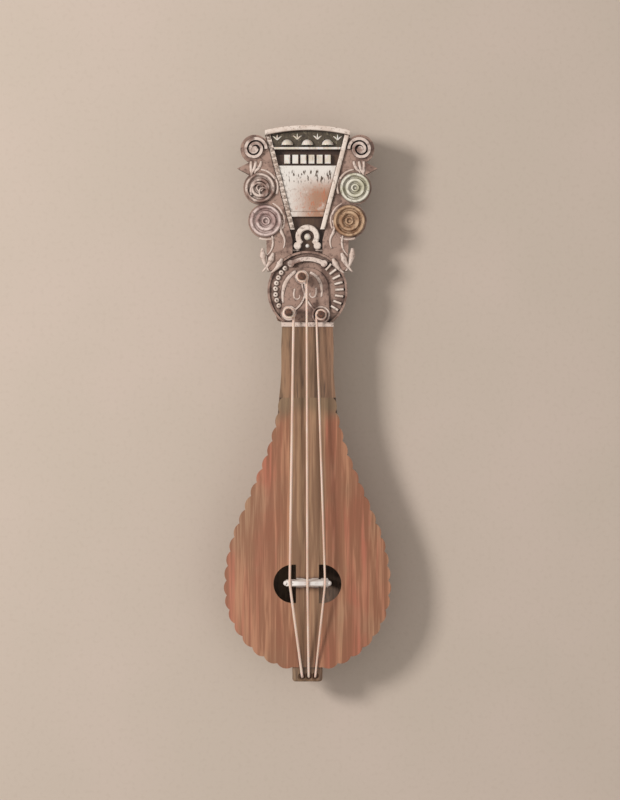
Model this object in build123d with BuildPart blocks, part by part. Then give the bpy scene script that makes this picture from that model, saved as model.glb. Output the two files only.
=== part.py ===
from build123d import *
import os
from math import asin, atan2, cos, degrees, hypot, pi, radians, sin, sqrt

os.makedirs("parts", exist_ok=True)

# A three-string, pear-shaped bowed lyra of the Cretan kind, lying on its back.
# +Z is up out of the soundboard, +Y runs to the carved head, and the origin is the middle of the
# bottom of the bounding box. Bowl, neck and head slab are one block of wood, as on the real lyra.

# ---- Driving dimensions, in millimetres -------------------------------------------------------

overall_length = 480.0

# Body outline: a round tail, a long shoulder arc, a straight flank and an arc into the neck
body_half_width = 72.2
shoulder_radius = 144.0
flank_angle = 22.8
neck_blend_radius = 230.0
neck_half_width = 22.5
collar_seat_half_width = 15.3
tail_block_length = 12.5

# Depths
board_top = 45.0
board_thickness = 3.0
board_arch_rise = 4.0
back_flat_depth = 0.5
neck_thickness = 25.0
bowl_wall = 4.0
tail_depth = 12.0
heel_rise = 0.6
cut_margin = 29.0

# Soundboard edge and sound holes
lobe_pitch = 12.7
lobe_depth = 2.3
board_end_from_belly = 164.0
hole_radius = 16.6
hole_from_belly = 3.5
hole_flat_width = 2.8
hole_inner_x = 9.9

# Head: disc, panel between the rails, crown
disc_radius = 34.5
disc_from_crown = 143.0
head_thickness = 12.0
head_setback = 7.0
crown_half_width = 36.6
crown_rise = 4.3
cornice_thickness = 4.3
cornice_overlap = 1.6
rail_width = 4.0
rail_height = 7.5
rail_foot_x = 13.0
rail_foot_from_crown = 89.8
rail_top_x = 34.0
rail_bead_pitch = 5.0
cornice_round = 1.2
frieze_height = 14.5
frieze_thickness = 3.0
dome_radius = 5.0
dome_spacing = 17.4
ledge_height = 1.8
ledge_thickness = 5.0
slot_height = 4.5
slot_depth = 3.0
tile_count = 6
tile_width = 5.4
tile_height = 8.0
tile_gap = 1.6
tile_thickness = 4.0
plaque_height = 44.0
plaque_thickness = 3.0
plaque_band_height = 4.0
plaque_band_lift = 1.4

# Wings: pierced carving beside the panel
wing_thickness = 5.0
upper_rosette_x = 41.0
upper_rosette_from_crown = 54.0
upper_rosette_radius = 13.0
lower_rosette_x = 36.0
lower_rosette_from_crown = 82.5
lower_rosette_radius = 13.8
rosette_margin = 1.3
rosette_height = 3.5
rosette_eye_radius = 2.2
volute_x = 45.5
volute_from_crown = 20.5
volute_radius = 11.0
volute_band = 2.4
volute_height = 3.0
volute_steps = 4
spike_reach = 60.5
spike_half_height = 5.0
leaf_length = 24.0
leaf_width = 8.0
leaf_height = 3.0
carving_bevel = 0.8
leaf_places = [(38.0, 40.0, 4.0), (22.0, 37.0, 38.0)]
slab_inset = 1.0

# Ornament between plaque and disc
horseshoe_radius = 8.0
horseshoe_band = 4.6
horseshoe_height = 5.0
horseshoe_from_crown = 96.0
pearl_radius = 3.0
stem_pearl_radius = 1.8

# Disc with its border of beads and bars
disc_thickness = 3.0
field_radius = 18.0
field_lift = 2.0
rim_width = 1.8
rim_lift = 2.0
bead_ring_radius = 27.6
bead_radius = 2.5
bead_height = 2.6
bead_count = 8
bead_from_angle = 134.5
bead_to_angle = 207.0
bar_from_angle = -32.0
bar_to_angle = 49.0
field_border = 3.6
bar_width = 2.6
bar_length = 8.0
band_width = 3.6
band_height = 4.0
band_half_angle = 31.0
collar_length = 4.0
collar_lift = 0.6
tracery_band = 1.4
tracery_height = 1.2
tracery_ring_radius = [6.4, 6.0, 7.8]

# Strings, from bass to treble
string_radius = [1.1, 1.0, 0.9]
bridge_spread = 15.2
tail_hole_spacing = 5.6
tail_hole_offset = 1.1
tail_hole_from_end = 4.2
tail_hole_clearance = 0.3
tail_block_half_width = 13.0
tail_block_shoulder = 0.9
tail_block_drop = 1.0
tail_block_round = 3.0
string_bend = 2.5
knot_radius = 2.1

# Pegs, set from behind, their tips standing out of the disc
peg_x = [-16.0, -4.7, 11.6]
peg_from_crown = [162.0, 131.0, 163.7]
peg_turn = [20.0, -35.0, 65.0]
peg_shaft_radius = 4.0
peg_tip_radius = 3.0
peg_tip_length = 18.5
peg_shank_radius = 5.2
peg_handle_width = 23.0
peg_handle_height = 17.0
peg_handle_thickness = 7.0
peg_handle_round = 1.8
winding_turns = 2
winding_gap = 0.62
winding_lift = 9.0
winding_start_bend = 1.3

# Bridge and soundpost
bridge_length = 41.5
bridge_from_belly = 4.5
bridge_height = 12.0
bridge_foot_thickness = 8.0
bridge_top_thickness = 3.2
bridge_crown_rise = 2.2
bridge_knob_radius = 2.3
bridge_end_height = 4.6
soundpost_radius = 2.8
soundpost_x = 14.6

# Clearances
shaft_clearance = 0.05
seat_gap = 0.3
string_gap = 0.12
string_seat = 0.05

# ---- Places worked out from the sizes ---------------------------------------------------------

tail_y = -overall_length / 2
crown_y = overall_length / 2
tail_flat_y = tail_y + tail_block_length
tail_flat_half_width = tail_block_half_width + tail_block_shoulder
belly_to_tail = sqrt((body_half_width - lobe_depth) ** 2 - tail_flat_half_width**2)
belly_y = tail_flat_y + belly_to_tail
disc_y = crown_y - disc_from_crown
collar_y = disc_y - sqrt(disc_radius**2 - collar_seat_half_width**2)
board_end_y = belly_y + board_end_from_belly
bridge_y = belly_y + bridge_from_belly
bridge_top = board_top + bridge_height

rim_z = board_top - board_thickness
head_front = board_top - head_setback
head_back = head_front - head_thickness
disc_face = head_front + disc_thickness
field_face = disc_face + field_lift
wing_face = head_front + wing_thickness

theta = radians(flank_angle)
shoulder_centre_x = body_half_width - shoulder_radius
neck_centre_x = neck_half_width + neck_blend_radius
flank_length = (
    shoulder_centre_x - neck_centre_x + (shoulder_radius + neck_blend_radius) * cos(theta)
) / sin(theta)
neck_arc_y = belly_y + (shoulder_radius + neck_blend_radius) * sin(theta) + flank_length * cos(theta)

rail_foot_y = crown_y - rail_foot_from_crown
rail_slope = (rail_top_x - rail_foot_x) / (rail_foot_from_crown - cornice_thickness - crown_rise)
crown_radius = (crown_half_width**2 + crown_rise**2) / (2 * crown_rise)
crown_centre_y = crown_y - crown_radius
frieze_y = crown_y - cornice_thickness - frieze_height
ledge_y = frieze_y - ledge_height
slot_y = ledge_y - slot_height
tile_y = slot_y - tile_height
plaque_y = tile_y - tile_gap - plaque_height
pegs = [(peg_x[i], crown_y - peg_from_crown[i]) for i in range(3)]
peg_tip_top = field_face + peg_tip_length
string_names = ["bass", "middle", "treble"]


def half_width(y, inset=0.0):
    """Half the body's width at y, for the outline moved inward by inset."""
    shoulder = shoulder_radius - inset
    neck = neck_blend_radius + inset
    flank_start = belly_y + shoulder * sin(theta)
    if y <= belly_y:
        return sqrt(max((body_half_width - inset) ** 2 - (y - belly_y) ** 2, 0.0))
    if y <= flank_start:
        return shoulder_centre_x + sqrt(shoulder**2 - (y - belly_y) ** 2)
    if y <= neck_arc_y - neck * sin(theta):
        return shoulder_centre_x + shoulder * cos(theta) - (y - flank_start) * sin(theta) / cos(theta)
    if y <= neck_arc_y:
        return neck_centre_x - sqrt(neck**2 - (neck_arc_y - y) ** 2)
    return neck_half_width - inset


def ease(share):
    """A smooth step from 0 to 1."""
    return 0.5 - 0.5 * cos(pi * min(max(share, 0.0), 1.0))


def back_depth(y):
    """How far the back lies under the rim: deep at the belly, shallow at tail, neck and head."""
    belly_depth = rim_z + back_flat_depth
    neck_depth = neck_thickness - board_thickness
    deepest_y = belly_y + belly_to_tail / 8
    if y <= deepest_y:
        span = deepest_y - tail_flat_y
        reach = span / sqrt(1 - (tail_depth / belly_depth) ** 2)
        return belly_depth * sqrt(1 - ((deepest_y - y) / reach) ** 2)
    along = (y - deepest_y) / (neck_arc_y - deepest_y)
    depth = belly_depth + (neck_depth - belly_depth) * ease(along)
    heel = (y - neck_arc_y) / (collar_y + collar_length - neck_arc_y)
    return depth + (rim_z - head_back - heel_rise - neck_depth) * ease(heel)


def block_section(y, wall):
    """A cross-section of the bowl and neck at y, moved inward by wall."""
    half = half_width(y, lobe_depth + wall) if y < board_end_y else half_width(y, wall)
    depth = back_depth(y) - wall
    top = board_top + 1.0
    with BuildSketch(Plane.XZ.offset(-y)) as section:
        with BuildLine():
            EllipticalCenterArc((0, rim_z), half, depth, start_angle=180, arc_size=180)
            Line((half, rim_z), (half, top))
            Line((half, top), (-half, top))
            Line((-half, top), (-half, rim_z))
        make_face()
    return section.sketch


def arch_drop(x, crown_height):
    """How far the arched surface with its crown at crown_height lies lower at x."""
    radius = arch_radius - (board_top - crown_height)
    return radius - sqrt(radius**2 - x**2)


def arch_room(crown_height, y_low, y_high, upward=True):
    """The room above, or else below, the arched surface with its crown at crown_height."""
    edge_x = body_half_width + cut_margin
    edge_z = crown_height - arch_drop(edge_x, crown_height)
    far_z = board_top + cut_margin if upward else -cut_margin
    with BuildPart() as room:
        with BuildSketch(Plane.XZ.offset(-y_high)):
            with BuildLine():
                ThreePointArc((-edge_x, edge_z), (0, crown_height), (edge_x, edge_z))
                Polyline((edge_x, edge_z), (edge_x, far_z), (-edge_x, far_z), (-edge_x, edge_z))
            make_face()
        extrude(amount=y_high - y_low)
    return room.part


def save(piece, name):
    """Label a finished piece and write it as a node of its own."""
    piece.part.label = name
    export_step(piece.part, f"parts/{name}.step")


# ---- The block: bowl, neck and head slab ------------------------------------------------------

arch_radius = (body_half_width**2 + board_arch_rise**2) / (2 * board_arch_rise)
neck_end_y = collar_y + collar_length
tail_turn = degrees(asin(belly_to_tail / (body_half_width - lobe_depth)))

tail_stations = [
    belly_y - (body_half_width - lobe_depth) * sin(radians(tail_turn * (1 - i / 6))) for i in range(7)
]
neck_stations = [belly_y + (board_end_y - belly_y) * (i + 1) / 7 for i in range(7)]
head_stations = [board_end_y + (neck_end_y - board_end_y) * (i + 1) / 4 for i in range(4)]
cavity_low = tail_flat_y + 1.6 * bowl_wall
cavity_high = board_end_y - 6 * bowl_wall
cavity_turn = asin((belly_y - cavity_low) / (body_half_width - lobe_depth - bowl_wall))

with BuildPart() as cavity:
    stations = [
        belly_y - (body_half_width - lobe_depth - bowl_wall) * sin(cavity_turn * (1 - i / 5))
        for i in range(6)
    ]
    stations += [belly_y + (cavity_high - belly_y) * (i + 1) / 6 for i in range(6)]
    loft([block_section(y, bowl_wall) for y in stations])


def rail_x(y):
    """Half the distance between the rails' centre lines at y."""
    return rail_foot_x + (y - rail_foot_y) * rail_slope


def crown_arc_y(x, inset):
    """The y of the crown's arc, moved down by inset, at x."""
    return crown_centre_y + sqrt((crown_radius - inset) ** 2 - x**2)


def crowned_panel(height, y_low, inset, offset_x):
    """A panel between two lines beside the rails, closed at the top by the crown's arc."""
    low_x = rail_x(y_low) + offset_x
    high_x = rail_x(crown_arc_y(rail_top_x, inset)) + offset_x
    high_y = crown_arc_y(high_x, inset)
    with BuildSketch(Plane.XY.offset(height)) as panel:
        with BuildLine():
            Line((low_x, y_low), (high_x, high_y))
            ThreePointArc((high_x, high_y), (0, crown_arc_y(0, inset)), (-high_x, high_y))
            Polyline((-high_x, high_y), (-low_x, y_low), (low_x, y_low))
        make_face()
    return panel.sketch


def level_panel(height, y_low, y_high, offset_x):
    """A panel between two lines beside the rails, level at the top."""
    low_x = rail_x(y_low) + offset_x
    high_x = rail_x(y_high) + offset_x
    with BuildSketch(Plane.XY.offset(height)) as panel:
        Polygon((low_x, y_low), (high_x, y_high), (-high_x, y_high), (-low_x, y_low))
    return panel.sketch


def wing_places(side):
    """Centre and radius of a wing's lower rosette, upper rosette and volute."""
    return [
        ((side * lower_rosette_x, crown_y - lower_rosette_from_crown), lower_rosette_radius),
        ((side * upper_rosette_x, crown_y - upper_rosette_from_crown), upper_rosette_radius),
        ((side * volute_x, crown_y - volute_from_crown), volute_radius),
    ]


def wing_outline(height, side, inset):
    """A wing seen from the front: lobes round the rosettes and the volute, a spike and a leaf root."""
    lower, upper, volute = [place for place, radius in wing_places(side)]
    leaf_foot = (side * (rail_foot_x + leaf_length * 0.9), disc_y + disc_radius * 0.5)
    with BuildSketch(Plane.XY.offset(height)) as outline:
        for place, radius in wing_places(side):
            with Locations(place):
                Circle(radius + rosette_margin - inset)
        Polygon(
            (side * rail_foot_x, disc_y + disc_radius * 0.6),
            leaf_foot,
            lower,
            upper,
            volute,
            (side * rail_top_x, crown_arc_y(rail_top_x, cornice_thickness) - inset),
            (side * rail_foot_x, rail_foot_y),
        )
        Polygon(
            (side * (spike_reach - inset), (upper[1] + volute[1]) / 2),
            (side * upper_rosette_x, (upper[1] + volute[1]) / 2 + spike_half_height * 2),
            (side * upper_rosette_x, (upper[1] + volute[1]) / 2 - spike_half_height * 2),
        )
    return outline.sketch


def slab_outline(height):
    """The head slab behind all the carving."""
    with BuildSketch(Plane.XY.offset(height)) as outline:
        add(wing_outline(0, 1, slab_inset))
        add(wing_outline(0, -1, slab_inset))
        add(crowned_panel(0, disc_y, cornice_thickness, rail_width / 2))
        with Locations((0, disc_y)):
            Rectangle(2 * rail_foot_x, rail_foot_y - disc_y, align=(Align.CENTER, Align.MIN))
        with Locations((0, disc_y)):
            Circle(disc_radius - slab_inset)
    return outline.sketch


with BuildPart() as bowl_neck_and_head:
    loft([block_section(y, 0) for y in tail_stations + neck_stations + head_stations])
    add(cavity, mode=Mode.SUBTRACT)
    add(arch_room(board_top, tail_y, neck_end_y + 1), mode=Mode.SUBTRACT)
    add(arch_room(rim_z, tail_y, board_end_y), mode=Mode.SUBTRACT)
    with BuildSketch(Plane.XY):
        Rectangle(2 * body_half_width, overall_length)
    extrude(amount=-board_top, mode=Mode.SUBTRACT)
    with BuildSketch(Plane.XY.offset(head_front)):
        with Locations((0, collar_y)):
            Rectangle(4 * neck_half_width, 2 * collar_length, align=(Align.CENTER, Align.MIN))
    extrude(amount=board_top, mode=Mode.SUBTRACT)
    extrude(slab_outline(head_back), amount=head_thickness)
    extrude(level_panel(head_front, slot_y, ledge_y, -rail_width / 2), amount=-slot_depth, mode=Mode.SUBTRACT)
    with BuildSketch(Plane.XY.offset(head_back)):
        with Locations(pegs):
            Circle(peg_shaft_radius + shaft_clearance)
    extrude(amount=head_thickness, mode=Mode.SUBTRACT)

save(bowl_neck_and_head, "bowl_neck_and_head")

# ---- Soundboard: arched, with a lobed edge and two D-shaped holes -----------------------------

notch_radius = body_half_width - lobe_depth
neck_notch_radius = neck_blend_radius + lobe_depth
neck_start_angle = degrees(asin((neck_arc_y - board_end_y) / neck_notch_radius))
hole_y = belly_y + hole_from_belly
hole_centre_x = hole_inner_x + hole_flat_width

with BuildLine() as notch_line:
    neck_arc = CenterArc(
        (neck_centre_x, neck_arc_y),
        neck_notch_radius,
        180 + neck_start_angle,
        flank_angle - neck_start_angle,
    )
    shoulder_arc = CenterArc(
        (shoulder_centre_x, belly_y), shoulder_radius - lobe_depth, flank_angle, -flank_angle
    )
    Line(neck_arc @ 1, shoulder_arc @ 0)
    CenterArc((0, belly_y), notch_radius, 0, -degrees(asin(belly_to_tail / notch_radius)))
notches = notch_line.wire()
lobe_count = round(notches.length / lobe_pitch)

with BuildPart() as soundboard:
    with BuildSketch(Plane.XY.offset(rim_z - board_arch_rise * 2)):
        with BuildLine():
            for i in range(lobe_count):
                start, middle, end = [notches.position_at((i + share) / lobe_count) for share in (0, 0.5, 1)]
                along = notches.tangent_at((i + 0.5) / lobe_count)
                outward = Vector(along.Y, -along.X)
                if outward.X < 0:
                    outward = -outward
                ThreePointArc(start, middle + outward * lobe_depth, end)
            mirror(about=Plane.YZ)
            for end in (notches @ 0, notches @ 1):
                Line((-end.X, end.Y), (end.X, end.Y))
        make_face()
        for side in (-1, 1):
            with Locations((side * hole_centre_x, hole_y)):
                Circle(hole_radius, mode=Mode.SUBTRACT)
            with Locations((side * (hole_centre_x + hole_inner_x) / 2, hole_y)):
                Rectangle(hole_flat_width, 2 * hole_radius, mode=Mode.SUBTRACT)
        with Locations((0, hole_y)):
            Rectangle(2 * hole_inner_x, 2.2 * hole_radius)
    extrude(amount=board_arch_rise * 2 + board_thickness + 1)
    add(arch_room(board_top, tail_y, board_end_y + 1), mode=Mode.SUBTRACT)
    add(arch_room(rim_z, tail_y, board_end_y + 1, upward=False), mode=Mode.SUBTRACT)

save(soundboard, "soundboard")

# ---- Tail block, bridge and soundpost ---------------------------------------------------------

tail_hole_y = tail_y + tail_hole_from_end
tail_holes = [((i - 1) * tail_hole_spacing + tail_hole_offset, tail_hole_y) for i in range(3)]
tail_block_top = board_top - tail_block_drop
tail_block_low = rim_z - tail_depth

with BuildPart() as tail_block:
    with BuildSketch(Plane.XY.offset(tail_block_low)):
        with Locations((0, tail_y)):
            Rectangle(
                2 * tail_block_half_width, tail_block_length, align=(Align.CENTER, Align.MIN)
            )
    extrude(amount=tail_block_top - tail_block_low)
    fillet(tail_block.edges().filter_by(Axis.Z).group_by(Axis.Y)[0], tail_block_round)
    fillet(tail_block.edges().group_by(Axis.Z)[-1].group_by(Axis.Y)[0], string_bend)
    with Locations(Location((0, 0, tail_block_top))):
        with Locations(tail_holes):
            CounterSinkHole(
                max(string_radius) + tail_hole_clearance,
                max(string_radius) + tail_hole_clearance + string_bend,
                counter_sink_angle=90,
            )

save(tail_block, "tail_block")

foot_x = hole_inner_x - 0.4
bridge_half = bridge_length / 2
wing_low = bridge_top - bridge_crown_rise - bridge_end_height
bridge_arc_radius = (bridge_spread**2 + bridge_crown_rise**2) / (2 * bridge_crown_rise)
side_foot_half = soundpost_radius + 0.2


def bridge_arc_z(x):
    """Height of the bridge's curved top at x."""
    return bridge_top - bridge_arc_radius + sqrt(bridge_arc_radius**2 - x**2)


with BuildPart() as bridge:
    with BuildSketch(Plane.XZ.offset(-bridge_y - bridge_foot_thickness / 2)):
        with BuildLine():
            ThreePointArc(
                (-bridge_spread, bridge_arc_z(bridge_spread)),
                (0, bridge_top),
                (bridge_spread, bridge_arc_z(bridge_spread)),
            )
            Polyline(
                (bridge_spread, bridge_arc_z(bridge_spread)),
                (bridge_half - bridge_knob_radius, wing_low + bridge_end_height * 0.7),
                (bridge_half - bridge_knob_radius, wing_low),
                (foot_x, wing_low - bridge_end_height * 0.3),
                (foot_x, rim_z),
                (-foot_x, rim_z),
                (-foot_x, wing_low - bridge_end_height * 0.3),
                (-bridge_half + bridge_knob_radius, wing_low),
                (-bridge_half + bridge_knob_radius, wing_low + bridge_end_height * 0.7),
                (-bridge_spread, bridge_arc_z(bridge_spread)),
            )
        make_face()
        with Locations((soundpost_x, (wing_low + bridge_end_height * 0.4 + board_top) / 2)):
            Rectangle(2 * side_foot_half, wing_low + bridge_end_height * 0.4 - board_top)
        with Locations((0, rim_z)):
            Ellipse(foot_x * 0.5, bridge_height * 0.55, mode=Mode.SUBTRACT)
    extrude(amount=bridge_foot_thickness)
    with BuildSketch(Plane.YZ.offset(-bridge_half)):
        for side in (-1, 1):
            Polygon(
                (bridge_y + side * bridge_foot_thickness / 2, board_top),
                (bridge_y + side * bridge_top_thickness / 2, bridge_top),
                (bridge_y + side * bridge_foot_thickness, bridge_top + 1),
                (bridge_y + side * bridge_foot_thickness, board_top),
            )
    extrude(amount=bridge_length, mode=Mode.SUBTRACT)
    under_board = arch_room(board_top, bridge_y - bridge_height, bridge_y + bridge_height, upward=False)
    add(under_board, mode=Mode.SUBTRACT)
    knob_z = wing_low + bridge_end_height * 0.4
    for side in (-1, 1):
        with Locations((side * (bridge_half - bridge_knob_radius), bridge_y, knob_z)):
            Sphere(bridge_knob_radius)

save(bridge, "bridge")

with BuildPart() as soundpost:
    with Locations((soundpost_x, bridge_y, 0)):
        Cylinder(soundpost_radius, board_top, align=(Align.CENTER, Align.CENTER, Align.MIN))
    add(cavity, mode=Mode.INTERSECT)
    add(arch_room(board_top, bridge_y - bridge_height, bridge_y + bridge_height), mode=Mode.SUBTRACT)

save(soundpost, "soundpost")

# ---- Head: crown, frieze, tiles, plaque and rails ---------------------------------------------

inner_edge = -rail_width / 2 - seat_gap
outer_edge = rail_width / 2

with BuildPart() as crown_cornice:
    with BuildSketch(Plane.XY.offset(head_back)):
        with BuildLine():
            corner_y = crown_arc_y(crown_half_width, 0)
            low_y = crown_arc_y(crown_half_width, cornice_thickness)
            ThreePointArc((-crown_half_width, corner_y), (0, crown_y), (crown_half_width, corner_y))
            Line((crown_half_width, corner_y), (crown_half_width, low_y))
            ThreePointArc(
                (crown_half_width, low_y),
                (0, crown_arc_y(0, cornice_thickness)),
                (-crown_half_width, low_y),
            )
            Line((-crown_half_width, low_y), (-crown_half_width, corner_y))
        make_face()
    extrude(amount=head_thickness + rail_height + cornice_overlap)
    fillet(crown_cornice.edges().group_by(Axis.Z)[-1].filter_by(GeomType.CIRCLE), cornice_round)

save(crown_cornice, "crown_cornice")

with BuildPart() as frieze:
    extrude(
        crowned_panel(head_front, frieze_y, cornice_thickness, inner_edge), amount=frieze_thickness
    )

save(frieze, "frieze")

with BuildPart() as frieze_domes:
    for i in range(3):
        with Locations(((i - 1) * dome_spacing, frieze_y + ledge_height, head_front + frieze_thickness)):
            Sphere(dome_radius, 0, 90, 180, align=(Align.CENTER, Align.MIN, Align.MIN))

save(frieze_domes, "frieze_domes")

with BuildPart() as frieze_ledge:
    extrude(level_panel(head_front, ledge_y, frieze_y, inner_edge), amount=ledge_thickness)

save(frieze_ledge, "frieze_ledge")

with BuildPart() as bone_tiles:
    with BuildSketch(Plane.XY.offset(head_front)):
        with Locations((0, tile_y + tile_height / 2)):
            with GridLocations(tile_width + tile_gap, tile_height, tile_count, 1):
                Rectangle(tile_width, tile_height)
    extrude(amount=tile_thickness, taper=4)

save(bone_tiles, "bone_tiles")

with BuildPart() as crest_plaque:
    extrude(level_panel(head_front, plaque_y, plaque_y + plaque_height, inner_edge), amount=plaque_thickness)
    band_y = plaque_y + plaque_band_height
    extrude(
        level_panel(head_front, plaque_y, band_y, inner_edge), amount=plaque_thickness + plaque_band_lift
    )

save(crest_plaque, "crest_plaque")


def rail_strip(height, side, width):
    """A rail seen from the front: from its foot up to the crown's arc."""
    half = width / 2
    low = side * rail_x(rail_foot_y)
    high = side * rail_x(crown_arc_y(rail_top_x, cornice_thickness))
    with BuildSketch(Plane.XY.offset(height)) as strip:
        Polygon(
            (low - half, rail_foot_y),
            (low + half, rail_foot_y),
            (high + half, crown_arc_y(high + half, cornice_thickness)),
            (high - half, crown_arc_y(high - half, cornice_thickness)),
        )
    return strip.sketch


with BuildPart() as rail_plain:
    extrude(rail_strip(head_front, 1, rail_width), amount=rail_height)
    fillet(rail_plain.edges().group_by(Axis.Z)[-1].filter_by(Axis.X, reverse=True), rail_width * 0.3)

save(rail_plain, "rail_plain")

rail_length = crown_arc_y(rail_top_x, cornice_thickness) - rail_foot_y
rail_bead_count = int(rail_length / rail_bead_pitch)

with BuildPart() as rail_beaded:
    extrude(rail_strip(head_front, -1, rail_width), amount=rail_height * 0.55)
    for i in range(rail_bead_count):
        bead_y = rail_foot_y + (i + 0.5) * rail_length / rail_bead_count
        with BuildSketch(Plane.XY.offset(head_front + rail_height * 0.5)):
            with Locations((-rail_x(bead_y), bead_y)):
                RegularPolygon(rail_width * 0.55, 8, rotation=22.5)
        extrude(amount=rail_height * 0.5, taper=25)

save(rail_beaded, "rail_beaded")

# ---- Wings with rosettes, volutes and leaves --------------------------------------------------


def ring_profile(place, radius, base, height):
    """The half-profile of a turned rosette at place: rim, hollow, ring, hollow and eye."""
    with BuildSketch(Plane((*place, 0), x_dir=(1, 0, 0), z_dir=(0, -1, 0))) as profile:
        with BuildLine():
            Polyline(
                (0, base),
                (radius, base),
                (radius, base + height * 0.5),
                (radius * 0.9, base + height * 0.9),
                (radius * 0.78, base + height * 0.9),
                (radius * 0.66, base + height * 0.35),
                (radius * 0.55, base + height * 0.35),
                (radius * 0.46, base + height * 0.8),
                (radius * 0.38, base + height * 0.8),
                (radius * 0.3, base + height * 0.3),
                (rosette_eye_radius, base + height * 0.3),
                (rosette_eye_radius * 0.6, base + height),
                (0, base + height),
                (0, base),
            )
        make_face()
    return profile.sketch


def arm_path(side, steps):
    """A volute's centre line: half turns that shrink inward from the volute's rim."""
    centre_x, centre_y = side * volute_x, crown_y - volute_from_crown
    radius = volute_radius - volute_band / 2
    shrink = radius / (steps + 1)
    place, heading = (centre_x - side * radius, centre_y), 1
    with BuildLine() as path:
        for i in range(steps):
            reach = 2 * radius - shrink * (2 * i + 1)
            far = (place[0] + side * heading * reach, centre_y)
            middle = ((place[0] + far[0]) / 2, centre_y + heading * reach / 2)
            ThreePointArc(place, middle, far)
            place, heading = far, -heading
    return path.line


for side, side_name in ((-1, "left"), (1, "right")):
    (lower, lower_size), (upper, upper_size), (volute_place, volute_size) = wing_places(side)

    with BuildPart() as wing:
        extrude(wing_outline(head_front, side, 0), amount=wing_thickness)
        extrude(
            crowned_panel(head_front, disc_y, 0, outer_edge + seat_gap),
            amount=wing_thickness,
            mode=Mode.SUBTRACT,
        )
        with BuildSketch(Plane.XY.offset(head_front)):
            with Locations((0, disc_y)):
                Circle(disc_radius + seat_gap)
        extrude(amount=wing_thickness, mode=Mode.SUBTRACT)
    save(wing, f"wing_{side_name}")

    for level, place, size in (("lower", lower, lower_size), ("upper", upper, upper_size)):
        with BuildPart() as rosette:
            revolve(ring_profile(place, size, wing_face, rosette_height), Axis((*place, 0), (0, 0, 1)))
        save(rosette, f"rosette_{level}_{side_name}")

    with BuildPart() as volute:
        with BuildSketch(Plane.XY.offset(wing_face)):
            trace(arm_path(side, volute_steps), volute_band)
            with Locations(volute_place):
                Circle(volute_band)
        extrude(amount=volute_height, dir=(0, 0, 1))
    save(volute, f"volute_{side_name}")

    with BuildPart() as leaves:
        for start_x, start_y, turn in leaf_places:
            with BuildSketch(Plane.XY.offset(wing_face)):
                with BuildLine():
                    start = Vector(side * start_x, disc_y + start_y)
                    tip = start + Vector(0, -leaf_length).rotate(Axis.Z, side * turn)
                    bulge = -leaf_width / 2
                    SagittaArc(start, tip, bulge)
                    SagittaArc(tip, start, bulge)
                make_face()
            extrude(amount=leaf_height, taper=20)
    save(leaves, f"leaves_{side_name}")

# ---- Ornament between the plaque and the disc -------------------------------------------------

horseshoe_y = crown_y - horseshoe_from_crown
foot_y = horseshoe_y - horseshoe_radius * 0.75
foot_reach = horseshoe_radius * 1.35

with BuildPart() as horseshoe:
    with BuildSketch(Plane.XY.offset(head_front)):
        with BuildLine() as hoop:
            CenterArc((0, horseshoe_y), horseshoe_radius, -50, 280)
        trace(hoop.line, horseshoe_band)
        for side in (-1, 1):
            with Locations((side * foot_reach * 0.8, foot_y - horseshoe_band * 0.4)):
                Circle(horseshoe_band * 0.7)
    extrude(amount=horseshoe_height, dir=(0, 0, 1))
    chamfer(horseshoe.edges().group_by(Axis.Z)[-1], carving_bevel)

save(horseshoe, "horseshoe")

with BuildPart() as bone_pearls:
    with Locations((0, horseshoe_y, head_front)):
        Sphere(pearl_radius, 0, 90, align=(Align.CENTER, Align.CENTER, Align.MIN))
    with Locations((0, foot_y - horseshoe_band * 0.4, head_front)):
        Sphere(stem_pearl_radius, 0, 90, align=(Align.CENTER, Align.CENTER, Align.MIN))

save(bone_pearls, "bone_pearls")

# ---- Peg disc, its border and its tracery -----------------------------------------------------


def field_outline(height, margin):
    """The disc's inner field: a hull round the middle and both lower pegs."""
    with BuildSketch(Plane.XY.offset(height)) as field:
        with Locations((0, disc_y + field_lift)):
            Circle(field_radius - margin)
        with Locations(pegs[0], pegs[2]):
            Circle(peg_shaft_radius + field_border - margin)
        make_hull()
    return field.sketch


with BuildPart() as peg_disc:
    with BuildSketch(Plane.XY.offset(head_front)):
        with Locations((0, disc_y)):
            Circle(disc_radius)
    extrude(amount=disc_thickness)
    with BuildSketch(Plane.XY.offset(disc_face)):
        with Locations((0, disc_y)):
            Circle(disc_radius)
            Circle(disc_radius - rim_width, mode=Mode.SUBTRACT)
    extrude(amount=rim_lift)
    extrude(field_outline(disc_face, 0), amount=field_lift)
    with BuildSketch(Plane.XY.offset(head_front)):
        with Locations((0, neck_end_y)):
            Rectangle(3 * disc_radius, disc_radius, align=(Align.CENTER, Align.MAX))
        with Locations(pegs):
            Circle(peg_shaft_radius + shaft_clearance)
    extrude(amount=board_top, mode=Mode.SUBTRACT)

save(peg_disc, "peg_disc")

with BuildPart() as disc_beads:
    for step in range(bead_count):
        turn = radians(bead_from_angle + step * (bead_to_angle - bead_from_angle) / (bead_count - 1))
        with BuildSketch(Plane.XY.offset(disc_face)):
            with Locations((bead_ring_radius * cos(turn), disc_y + bead_ring_radius * sin(turn))):
                RegularPolygon(bead_radius, 8, rotation=22.5)
        extrude(amount=bead_height, taper=30)

save(disc_beads, "disc_beads")

with BuildPart() as disc_bars:
    for step in range(bead_count):
        turn = bar_from_angle + step * (bar_to_angle - bar_from_angle) / (bead_count - 1)
        with BuildSketch(Plane.XY.offset(disc_face)):
            with Locations(Location((0, disc_y, 0), (0, 0, turn))):
                with Locations((bead_ring_radius, 0)):
                    Rectangle(bar_length, bar_width)
        extrude(amount=bead_height, taper=12)

save(disc_bars, "disc_bars")

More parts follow.
